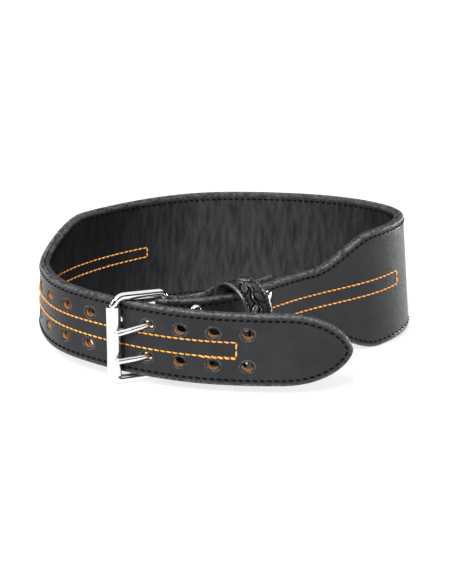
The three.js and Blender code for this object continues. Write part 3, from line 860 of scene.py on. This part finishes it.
def outer_height(s, w, side):
    """The outer face sinks a little round each rivet."""
    height = np.zeros_like(s)
    if side < 0:
        return height
    for t, rivet_side in RIVETS.values():
        for centre, rise in ((BELT_LENGTH - t, 0), (BELT_LENGTH + WRAP_LENGTH + t, flap_rise(t))):
            reach = np.hypot(s - centre, w + rise - rivet_side * (HALF_STRAP - RIVET_INSET))
            height -= DIMPLE_DEPTH * np.exp(-((reach / DIMPLE_REACH) ** 2))
    return height


# Soft upright waves of the lining: (length along the belt, share of the wave's height, slant)
LINING_WAVES = [(31.0, 0.35, 0.12), (17.0, 0.3, -0.09), (11.3, 0.22, 0.05), (7.9, 0.13, -0.03)]
LINING_WAVE_HEIGHT = 0.45
WAVE_FADE = 60
WAVE_OVERRUN = 40


def inner_height(s, w, side):
    height = np.zeros_like(s)
    if side > 0:
        return height
    for length, share, slant in LINING_WAVES:
        swing = 0.6 * np.sin(s / 97.0 + length) + 0.4 * np.sin(w / 23.0 + length)
        height += share * np.sin(2 * math.pi * (s + slant * w * 4) / length + 2.2 * swing)
    fade = smooth((s - LEFT_TAPER + WAVE_FADE) / WAVE_FADE)
    fade = fade * smooth((RIGHT_TAPER + WAVE_OVERRUN - s) / WAVE_FADE)
    return LINING_WAVE_HEIGHT * height * fade


CELLS = [(s, side) for s in HOLE_S for side in SIDES]


def make_outer_leather():
    turn_start, turn_end = BELT_LENGTH, BELT_LENGTH + WRAP_LENGTH
    breaks = [turn_start - SLOT_REACH, turn_start, turn_end, turn_end + SLOT_REACH]
    breaks.append(turn_end + BUCKLE_RIVET + DENSE_REACH)
    rows = strip_rows(SHEET_END, breaks)
    slots = [(breaks[0], breaks[3], side) for side in SIDES]
    profile = rim_profile(OUTER_LEATHER, 1, -1, OUTER_ROUND, PLAIN_ROUND)
    rings = (HOLE_FACE_RINGS, HOLE_BACK_RINGS)
    strip = Strip(outer_sheet, rows, OUTER_LEATHER, profile, outer_height, CELLS, slots, *rings)
    strip.piece("outer_strip", [LEATHER, RAW, RAW], "outer_leather", "outer_leather")


def make_inner_leather():
    rows = strip_rows(BELT_LENGTH - LINING_SETBACK, [])
    profile = rim_profile(INNER_LEATHER, -1, 1, INNER_ROUND, PLAIN_ROUND)
    rings = (HOLE_BACK_RINGS, HOLE_FACE_RINGS)
    strip = Strip(inner_sheet, rows, INNER_LEATHER, profile, inner_height, CELLS, [], *rings)
    strip.piece("lining_strip", [LINING, RAW, LINING], "inner_leather", "lining_leather")


# Turned and swept metal
def tube_mesh(rings, closed=False):
    """Points and faces of a tube through equal rings; an open one gets flat ends."""
    count, sides = len(rings), len(rings[0])
    faces = []
    for r in range(count if closed else count - 1):
        n = (r + 1) % count
        for i in range(sides):
            j = (i + 1) % sides
            faces.append((r * sides + i, r * sides + j, n * sides + j, n * sides + i))
    if not closed:
        faces.append(tuple(range(sides)))
        faces.append(tuple(range((count - 1) * sides, count * sides)))
    return np.concatenate(rings), faces


def circle(centre, a, b, radius, sides):
    turns = np.linspace(0, 2 * math.pi, sides, endpoint=False)[:, None]
    return centre + radius * (np.cos(turns) * a + np.sin(turns) * b)


def turned_mesh(profile, origin, axis, a, b, sides):
    """A closed or axis-ended profile of (radius, height) turned about an axis."""
    rings = [circle(origin + axis * h, a, b, max(r, 1e-4), sides) for r, h in profile]
    closed = profile[0] == profile[-1]
    return tube_mesh(rings[:-1] if closed else rings, closed)


WIRE_SIDES = 28
CORNER_STEPS = 12
SIDE_BAR = HALF_STRAP + FRAME_CLEARANCE + WIRE / 2


def make_buckle_frame():
    upper, lower = ROLLER_CORNER_UPPER, ROLLER_CORNER_LOWER
    corners = [
        (FRAME_LENGTH - upper, SIDE_BAR - upper, upper, 0),
        (HEEL_CORNER, SIDE_BAR - HEEL_CORNER, HEEL_CORNER, math.pi / 2),
        (HEEL_CORNER, HEEL_CORNER - SIDE_BAR, HEEL_CORNER, math.pi),
        (FRAME_LENGTH - lower, lower - SIDE_BAR, lower, -math.pi / 2),
    ]
    rings = []
    for x, y, radius, start in corners:
        for i in range(CORNER_STEPS + 1):
            angle = start + math.pi / 2 * i / CORNER_STEPS
            radial = FRAME_ALONG * math.cos(angle) + FRAME_UP * math.sin(angle)
            centre = HEEL + FRAME_ALONG * x + FRAME_UP * y + radial * radius
            rings.append(circle(centre, radial, FRAME_OUT, WIRE / 2, WIRE_SIDES))
    points, faces = tube_mesh(rings, closed=True)
    add_piece("buckle_wire", points, faces, [CHROME], None, "buckle_frame")


ROLLER_SIDES = 56
ROLLER_LIP = 0.35


def make_roller():
    outer, half = ROLLER_DIAMETER / 2, ROLLER_LENGTH / 2
    bore = outer - ROLLER_WALL
    lip = [(outer - ROLLER_LIP * (1 - math.cos(a)), half - ROLLER_LIP * (1 - math.sin(a)))
           for a in np.linspace(0, math.pi / 2, 5)]
    inner_lip = [(bore + ROLLER_LIP * (1 - math.sin(a)), half - ROLLER_LIP * (1 - math.cos(a)))
                 for a in np.linspace(0, math.pi / 2, 5)]
    end = lip + inner_lip
    profile = [(r, -h) for r, h in end[::-1]] + end
    profile.append(profile[0])
    points, faces = turned_mesh(profile, ROLLER_MIDDLE, FRAME_UP, FRAME_ALONG, FRAME_OUT, ROLLER_SIDES)
    add_piece("buckle_roller_tube", points, faces, [CHROME], None, "buckle_roller")


def between(x, start, end, a, b):
    """Goes from a to b as x goes from start to end."""
    return (end - x) / (end - start) * a + (x - start) / (end - start) * b


def through_points(points, count):
    """Centripetal curve through points, sampled evenly along its length."""
    points = np.asarray(points)
    padded = np.vstack([2 * points[0] - points[1], points, 2 * points[-1] - points[-2]])
    fine = []
    for k in range(len(points) - 1):
        p = padded[k:k + 4]
        gaps = np.maximum(np.linalg.norm(np.diff(p, axis=0), axis=1) ** 0.5, 1e-4)
        t = np.concatenate([[0], np.cumsum(gaps)])
        x = np.linspace(t[1], t[2], 24, endpoint=k == len(points) - 2)[:, None]
        a = [between(x, t[i], t[i + 1], p[i], p[i + 1]) for i in range(3)]
        b = [between(x, t[i], t[i + 2], a[i], a[i + 1]) for i in range(2)]
        fine.append(between(x, t[1], t[2], b[0], b[1]))
    fine = np.concatenate(fine)
    s = lengths_along(fine)
    even = np.linspace(0, s[-1], count)
    return np.stack([np.interp(even, s, fine[:, c]) for c in range(3)], 1)


HOOK_START = 1.4
HOOK_STEPS = 8
PRONG_RINGS = 70
PRONG_SIDES = 24
NOSE_STEPS = 7
NOSE_RADIUS = 0.02


def make_prong(name, side):
    rise = side * HOLE_ROWS / 2 + PRONG_RISE
    hole_origin, _, hole_up, _ = (a[0] for a in station(BUCKLED_S))
    points = []
    for i in range(HOOK_STEPS + 1):
        angle = HOOK_START + (2 * math.pi - HOOK_START) * i / HOOK_STEPS
        hook = ARM_ALONG * math.cos(angle) + ARM_OUT * math.sin(angle)
        points.append(HEEL + hook * HOOK_RADIUS + FRAME_UP * rise)
    points.append(hole_origin + hole_up * side * HOLE_ROWS / 2)
    onto_roller = ROLLER_DIAMETER / 2 + SKIN_GAP + PRONG_TIP / 2
    points.append(ROLLER + FRAME_OUT * onto_roller + FRAME_UP * (rise - PRONG_DROPS[side]))
    line = through_points(points, PRONG_RINGS)
    tangents = unit(np.gradient(line, axis=0))
    rings = []
    for k, (p, tangent) in enumerate(zip(line, tangents)):
        radius = (PRONG_BASE + (PRONG_TIP - PRONG_BASE) * smooth(2 * k / (PRONG_RINGS - 1) - 1)) / 2
        cross = unit(np.cross(FRAME_UP, tangent))
        rings.append(circle(p, cross, np.cross(tangent, cross), radius, PRONG_SIDES))
    for angle in np.linspace(0, math.pi / 2, NOSE_STEPS + 1)[1:]:
        centre = p + tangent * radius * math.sin(angle)
        nose = max(radius * math.cos(angle), NOSE_RADIUS)
        rings.append(circle(centre, cross, np.cross(tangent, cross), nose, PRONG_SIDES))
    made, faces = tube_mesh(rings)
    add_piece(name + "_pin", made, faces, [CHROME], None, name)


RIVET_SIDES = 40
DOME_STEPS = 9


def make_rivet(name):
    t, side = RIVETS[name]
    back, front = rivet_back(t), RIVET_FRONT
    head, shank = RIVET_HEAD / 2, RIVET_SHANK / 2
    dome = [(head * math.sin(a), RIVET_DOME * math.cos(a)) for a in np.linspace(0, math.pi / 2, DOME_STEPS)]
    profile = [(r, back - h) for r, h in dome] + [(shank, back), (shank, front)]
    profile += [(r, front + h) for r, h in dome[::-1]]
    origin, along, up, out = rivet_axes(t, side)
    points, faces = turned_mesh(profile, origin, out, along, up, RIVET_SIDES)
    add_piece(name + "_domes", points, faces, [CHROME], None, name)


# Keeper band: the edges are rounded beads, the face between them is tooled with a stem and leaves
KEEPER_ROWS = 300
KEEPER_COLUMNS = 58
KEEPER_ROUND = KEEPER_LEATHER / 2
KEEPER_HALF = KEEPER_BAND / 2
KEEPER_SEAM = 3.1
KEEPER_LINE = 4.3
LEAF_PITCH = 9.5
LEAF_LENGTH = 6.2
LEAF_WIDTH = 2.5
LEAF_TURN = 0.62
LEAF_OFF = 4.0
VEIN_PITCH = 2.4
STEM_SWING = 2.0
CUT_HALF = 0.55
TOOLING_DEPTH = 1.3
PLAIN_RAISED = 0.85


def ridge(distance, half):
    return np.exp(-((distance / half) ** 2))


def tooling(s, a):
    """How raised the tooled face is, from 0 to 1, at a distance s round the loop and a across the band."""
    inset = KEEPER_HALF - np.abs(a)
    count = 2 * round(KEEPER_LENGTH / LEAF_PITCH / 2)
    pitch = KEEPER_LENGTH / count
    stem = np.abs(a - STEM_SWING * np.sin(math.pi * s / pitch))
    raised = 0.5 + 0.35 * ridge(stem, 0.9)
    cuts = ridge(stem - 1.5, CUT_HALF)
    for k in range(count):
        side = 1 if k % 2 else -1
        ds = np.mod(s - (k + 0.5) * pitch + KEEPER_LENGTH / 2, KEEPER_LENGTH) - KEEPER_LENGTH / 2
        da = a - side * LEAF_OFF
        x = ds * math.cos(LEAF_TURN) + side * da * math.sin(LEAF_TURN)
        y = da * math.cos(LEAF_TURN) - side * ds * math.sin(LEAF_TURN)
        width = LEAF_WIDTH * (1 - (x / LEAF_LENGTH) ** 2) * (1 - 0.25 * x / LEAF_LENGTH)
        depth = np.where(np.abs(x) < LEAF_LENGTH, width - np.abs(y), -9)
        leaf = smooth((depth + 0.3) / 0.6)
        veins = 0.6 * ridge(y, 0.45) + 0.14 * (1 + np.sin(2 * math.pi * (x + 0.9 * np.abs(y)) / VEIN_PITCH))
        raised = raised * (1 - leaf) + leaf * (1.05 - veins)
        cuts = np.maximum(cuts * (1 - leaf), ridge(depth + 0.45, CUT_HALF))
    inside = smooth((inset - KEEPER_LINE - 0.3) / 0.5)
    lines = 0.35 * ridge(inset - KEEPER_SEAM, 0.55) + 0.85 * ridge(inset - KEEPER_LINE, 0.5)
    return np.clip(inside * (raised - cuts) + (1 - inside) * (PLAIN_RAISED - lines), 0, 1)


def make_keeper():
    rows = np.linspace(0, KEEPER_LENGTH, KEEPER_ROWS, endpoint=False)
    flat = KEEPER_HALF - KEEPER_ROUND
    face = np.linspace(-flat, flat, KEEPER_COLUMNS)
    bend = np.linspace(0, math.pi, 11)[1:-1]
    right = [(flat + KEEPER_ROUND * math.sin(a), KEEPER_ROUND * math.cos(a)) for a in bend]
    back = [(a, -KEEPER_ROUND) for a in np.linspace(flat, -flat, 9)]
    left = [(-a, -n) for a, n in right]
    section = np.array([*((a, KEEPER_ROUND) for a in face), *right, *back, *left])
    s, a = np.meshgrid(rows, section[:, 0], indexing="ij")
    n = np.broadcast_to(section[:, 1], s.shape).copy()
    raised = np.full(s.shape, PLAIN_RAISED)
    raised[:, :KEEPER_COLUMNS] = tooling(s[:, :KEEPER_COLUMNS], a[:, :KEEPER_COLUMNS])
    n[:, :KEEPER_COLUMNS] += TOOLING_DEPTH * (raised[:, :KEEPER_COLUMNS] - PLAIN_RAISED)
    points = place(keeper_sheet, np.stack([s, a, n], -1).reshape(-1, 3))
    _, faces = tube_mesh(list(points.reshape(KEEPER_ROWS, -1, 3)), closed=True)
    # The raised value also colours the band: the material paints shade, near black, where the tooling is low
    add_piece("keeper_band", points, faces, [TOOLED], None, "keeper_loop", raised.ravel())


# Thread
THREAD_SIDES = 8
THREAD_RINGS = np.array([-1, -0.82, -0.5, 0, 0.5, 0.82, 1])


class Seam:
    """A row of stitches along a path of (distance along, height across) points on one face of a sheet."""

    def __init__(self, path, pitch, radius, face, sink, slant=0.0, cover=0.9):
        path = np.asarray(path, float)
        steps = lengths_along(path)
        count = max(1, round(steps[-1] / pitch))
        middles = (np.arange(count) + 0.5) * steps[-1] / count
        half = steps[-1] / count / 2 * cover
        reach = middles[:, None] + half * THREAD_RINGS[None, :]
        s, w = (np.interp(reach, steps, path[:, c]) for c in (0, 1))
        ahead = [np.interp(middles + 0.3, steps, path[:, c]) - np.interp(middles - 0.3, steps, path[:, c])
                 for c in (0, 1)]
        ahead = unit(np.stack(ahead, 1))[:, None, :]
        beside = np.stack([-ahead[..., 1], ahead[..., 0]], -1)
        centres = np.stack([s, w], -1) + beside * (THREAD_RINGS[None, :, None] * slant)
        swell = np.sqrt(1 - 0.9 * np.abs(THREAD_RINGS) ** 4)
        lift = face + np.sign(face) * (radius * (1 - 2.0 * np.abs(THREAD_RINGS) ** 3.5) - sink)
        turns = np.linspace(0, 2 * math.pi, THREAD_SIDES, endpoint=False)
        girth = radius * np.cos(turns)[None, None, :, None] * swell[None, :, None, None]
        across = girth * beside[:, :, None, :]
        sw = centres[:, :, None, :] + across
        n = lift[None, :, None] + radius * np.sin(turns)[None, None, :] * swell[None, :, None]
        n = np.broadcast_to(n, sw.shape[:3])
        self.points = np.concatenate([sw, n[..., None]], -1).reshape(-1, 3)
        # How near each point lies to a stitch's end, where the thread material paints shade
        self.ends = np.broadcast_to((np.abs(THREAD_RINGS) ** 2.5)[None, :, None], sw.shape[:3]).ravel()
        _, one = tube_mesh([np.zeros((THREAD_SIDES, 3))] * len(THREAD_RINGS))
        size = len(THREAD_RINGS) * THREAD_SIDES
        self.faces = [tuple(k * size + i for i in face_) for k in range(count) for face_ in one]


def sew(name, seams, thread):
    """One piece from several (sheet, seam) pairs."""
    points, faces, ends, start = [], [], [], 0
    for sheet, seam in seams:
        points.append(place(sheet, seam.points))
        ends.append(seam.ends)
        faces += [tuple(start + i for i in face) for face in seam.faces]
        start += len(seam.points)
    add_piece(name, np.concatenate(points), faces, [thread], rim=np.concatenate(ends))


FRONT_FACE = OUTER_LEATHER / 2
BACK_FACE = -INNER_LEATHER / 2
BORDER = {"pitch": 5.4, "radius": 0.62, "sink": 0.4, "slant": 0.35, "cover": 0.8}
KEEPER_STITCHES = {
    "pitch": 3.4, "radius": 0.42, "face": KEEPER_ROUND - 0.3, "sink": 0.25, "slant": 0.0, "cover": 0.7
}
LINING_SEAM_END = 3
FLAP_SEAM_START = 6
FLAP_SEAM_END = 4


def border_path(start, end, inset, side):
    tip = TIP_LENGTH * (np.linspace(0.0005, 1, 240) ** 2)
    s = np.concatenate([tip, np.arange(TIP_LENGTH + 1, SHEET_END, 1.0)])
    es, ew = edge_line(s[s <= end], inset)
    keep = (es >= start) & (ew > 0)
    return np.stack([es[keep], side * ew[keep]], 1)


def make_border_stitches():
    flap = BELT_LENGTH + WRAP_LENGTH
    runs = [
        (outer_sheet, 0, BELT_LENGTH, FRONT_FACE),
        (inner_sheet, 0, BELT_LENGTH - LINING_SETBACK - LINING_SEAM_END, BACK_FACE),
        (outer_sheet, flap + FLAP_SEAM_START, SHEET_END - FLAP_SEAM_END, FRONT_FACE),
    ]
    seams = []
    for side in SIDES:
        turned = dict(BORDER, slant=-side * BORDER["slant"])
        for sheet, start, end, face in runs:
            seams.append((sheet, Seam(border_path(start, end, GROOVE_INSET, side), face=face, **turned)))
        a = side * (KEEPER_HALF - KEEPER_SEAM)
        seams.append((keeper_sheet, Seam([(0, a), (KEEPER_LENGTH, a)], **KEEPER_STITCHES)))
    sew("border_stitches", seams, BLACK_THREAD)


# Two long boxes of orange stitches: corners as (distance along, height across)
TONGUE_BOX = [
    (88.5, -5.75), (88.5, 6.5), (222, 5.6), (330, 5.6), (436, 6.0),
    (436, -3.2), (330, -4.4), (200, -5.7), (88.5, -5.75),
]
TONGUE_TACK = [(88.5, -6.6), (116, -6.3)]
ARM_BOX = [
    (BELT_LENGTH - t, w) for t, w in ((62, -3.0), (62, 8.6), (134, 8.5), (230, 9.2), (230, -2.6), (62, -3.0))
]
ORANGE = {"pitch": 4.9, "radius": 0.6, "sink": 0.2, "slant": 0.2, "cover": 1.0}


def sides_of(corners):
    """Straight runs of a box: corners between which the seam turns sharply start a new run."""
    runs, run = [], [corners[0]]
    for a, b, c in zip(corners, corners[1:], corners[2:]):
        run.append(b)
        ahead, behind = np.subtract(c, b), np.subtract(b, a)
        if ahead @ behind < 0.9 * np.linalg.norm(ahead) * np.linalg.norm(behind):
            runs.append(run)
            run = [b]
    return [*runs, [*run, corners[-1]]]


def make_orange_seams():
    seams = []
    for path in (*sides_of(TONGUE_BOX), TONGUE_TACK, *sides_of(ARM_BOX)):
        seams.append((outer_sheet, Seam(path, face=FRONT_FACE, **ORANGE)))
        seams.append((inner_sheet, Seam(path, face=BACK_FACE, **ORANGE)))
    sew("orange_seams", seams, ORANGE_THREAD)


# Studio: the photograph's camera is given in the level belt's own axes and laid down with it
CAMERA_ELEVATION = math.radians(21.865)
CAMERA_DISTANCE = 1100
CAMERA_TARGET = np.array([0, 0, 50.0])
FOCAL_PIXELS = 1302.1
PHOTO_HEIGHT = 584
SENSOR = 36


def make_camera():
    back = np.array([0, -math.cos(CAMERA_ELEVATION), math.sin(CAMERA_ELEVATION)])
    up = np.array([0, math.sin(CAMERA_ELEVATION), math.cos(CAMERA_ELEVATION)])
    right = np.array([1.0, 0, 0])
    axes = TURN @ np.stack([right, up, back], 1)
    data = bpy.data.cameras.new("camera")
    data.sensor_width = SENSOR
    data.lens = SENSOR * FOCAL_PIXELS / PHOTO_HEIGHT
    data.clip_start, data.clip_end = 0.05, 20
    camera = bpy.data.objects.new("camera", data)
    bpy.context.collection.objects.link(camera)
    stand = Matrix([list(row) for row in axes]).to_4x4()
    stand.translation = Vector(lay(CAMERA_TARGET + back * CAMERA_DISTANCE))
    camera.matrix_world = stand
    bpy.context.scene.camera = camera


def add_sun(name, source, strength, angle):
    """A broad soft light from the direction of a source point."""
    data = bpy.data.lights.new(name, "SUN")
    data.energy = strength
    data.angle = math.radians(angle)
    light = bpy.data.objects.new(name, data)
    light.rotation_mode = "QUATERNION"
    light.rotation_quaternion = (-Vector(source)).to_track_quat("-Z", "Y")
    bpy.context.collection.objects.link(light)


# Studio walls as (share of the way from straight down to straight up, brightness): pale at the horizon,
# a dark belt above it for the chrome to mirror, and white overhead
SKY = [(0.5, 0.75), (0.53, 0.6), (0.56, 0.03), (0.8, 0.03), (0.86, 0.8), (0.93, 1.0), (1.0, 1.0)]
SKY_STRENGTH = 1.0
FLOOR_SIZE = 14
FLOOR_DROP = 0.0004
FLOOR_GLOW = 0.74

# Broad soft lights as (name, direction they come from, strength, angle across in degrees)
LIGHTS = [
    ("front_light", (-0.35, -1.0, 1.0), 4.6, 24),
    ("right_light", (1.0, 0.55, 0.05), 4.5, 16),
    ("left_light", (-1.0, -0.3, 0.5), 0.6, 30),
]


def make_studio():
    floor_material, _, _ = material(
        "pale_floor",
        Base_Color=(0.25, 0.25, 0.25, 1),
        Roughness=0.8,
        Emission_Color=(1, 1, 1, 1),
        Emission_Strength=FLOOR_GLOW,
    )
    bpy.ops.mesh.primitive_plane_add(size=FLOOR_SIZE, location=(0, 0, -FLOOR_DROP))
    floor = bpy.context.object
    floor.name = "floor"
    floor.data.materials.append(floor_material)
    world = bpy.data.worlds.new("studio")
    bpy.context.scene.world = world
    world.use_nodes = True
    tree = world.node_tree
    background = tree.nodes["Background"]
    direction = node(tree, "ShaderNodeTexCoord").outputs["Generated"]
    height = node(tree, "ShaderNodeSeparateXYZ", {"Vector": direction}).outputs["Z"]
    share = shifted(tree, height, 0.5, 0.5)
    tree.links.new(ramp(tree, share, [(p, grey(v)) for p, v in SKY]), background.inputs["Color"])
    background.inputs["Strength"].default_value = SKY_STRENGTH
    for light in LIGHTS:
        add_sun(*light)
    bpy.context.scene.view_settings.view_transform = "Standard"


make_outer_leather()
make_inner_leather()
make_buckle_frame()
make_roller()
make_prong("prong_upper", 1)
make_prong("prong_lower", -1)
for rivet in RIVETS:
    make_rivet(rivet)
make_keeper()
make_border_stitches()
make_orange_seams()
make_camera()
make_studio()
